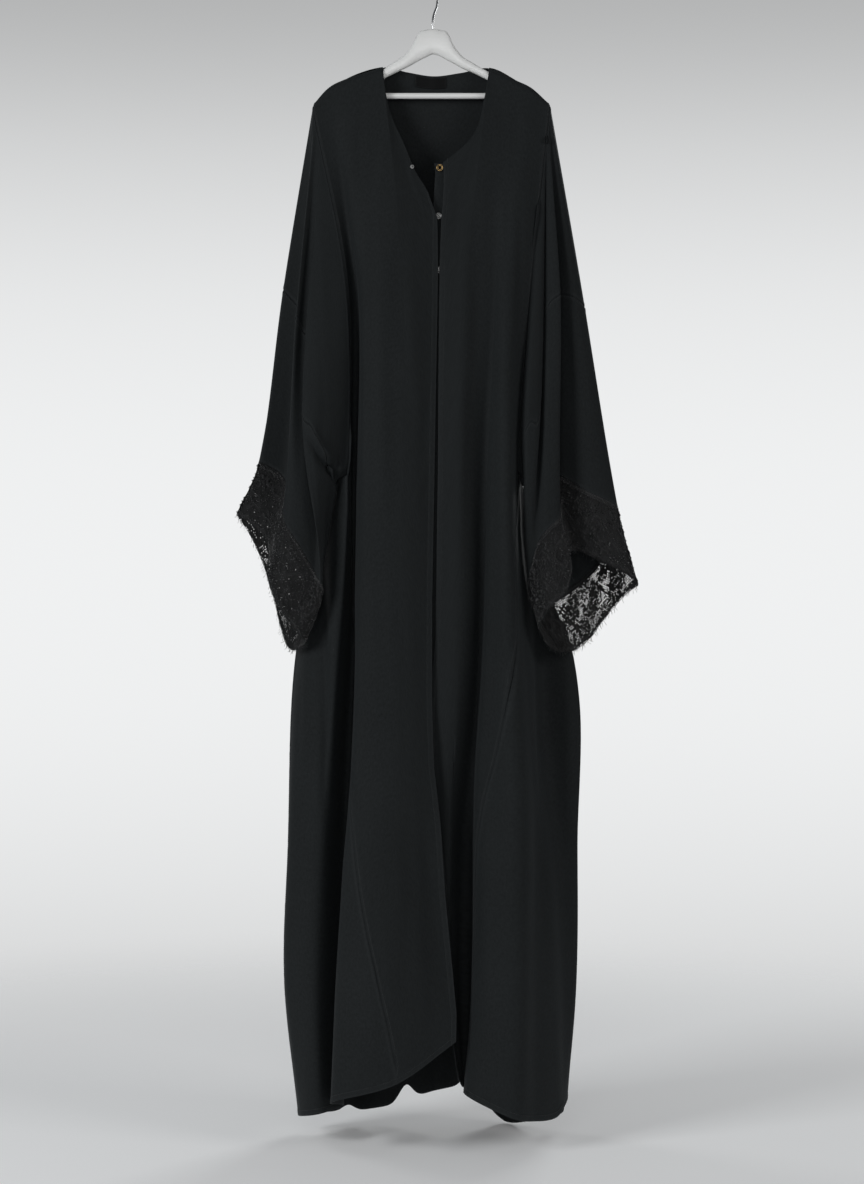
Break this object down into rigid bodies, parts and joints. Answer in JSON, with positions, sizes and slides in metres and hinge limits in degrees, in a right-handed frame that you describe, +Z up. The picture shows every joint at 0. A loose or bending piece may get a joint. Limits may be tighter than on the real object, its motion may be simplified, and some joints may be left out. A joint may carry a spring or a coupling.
{
  "type": "abaya cloak on hanger",
  "caption": "Long loose black cloak with an open front, dropped shoulders, wide lace-cuffed sleeves and a flared hem, hanging still on a plain white hanger.",
  "frame": {"origin": "inner top of the hanger's hook, where a rail carries it", "axes": "+Z up, the front of the cloak faces -Y, +X to the viewer's right, the wearer's left"},
  "size_m": [0.6015, 0.2319, 1.7332],
  "materials": {
    "cloth": "matt crepe with a faint sheen",
    "lace": "open lace with small beads",
    "label": "woven satin",
    "wood": "white satin paint",
    "steel": "bright",
    "brass": "polished"
  },
  "bodies": {
    "root": {"back": "cloth", "cuff_back_left": "lace", "cuff_back_right": "lace", "cuff_front_left": "lace", "cuff_front_right": "lace", "front_left": "cloth", "front_right": "cloth", "gore_back_left": "cloth", "gore_back_right": "cloth", "gore_front_left": "cloth", "gore_front_right": "cloth", "hanger_bar": "wood", "hanger_body": "wood", "hanger_hook": "steel", "label": "label", "sleeve_lower_left": "cloth", "sleeve_lower_right": "cloth", "sleeve_upper_left": "cloth", "sleeve_upper_right": "cloth", "snap_socket_1": "brass", "snap_socket_2": "steel", "snap_socket_3": "steel", "snap_stand": "cloth", "snap_stud_1": "steel"}
  },
  "joints": []
}
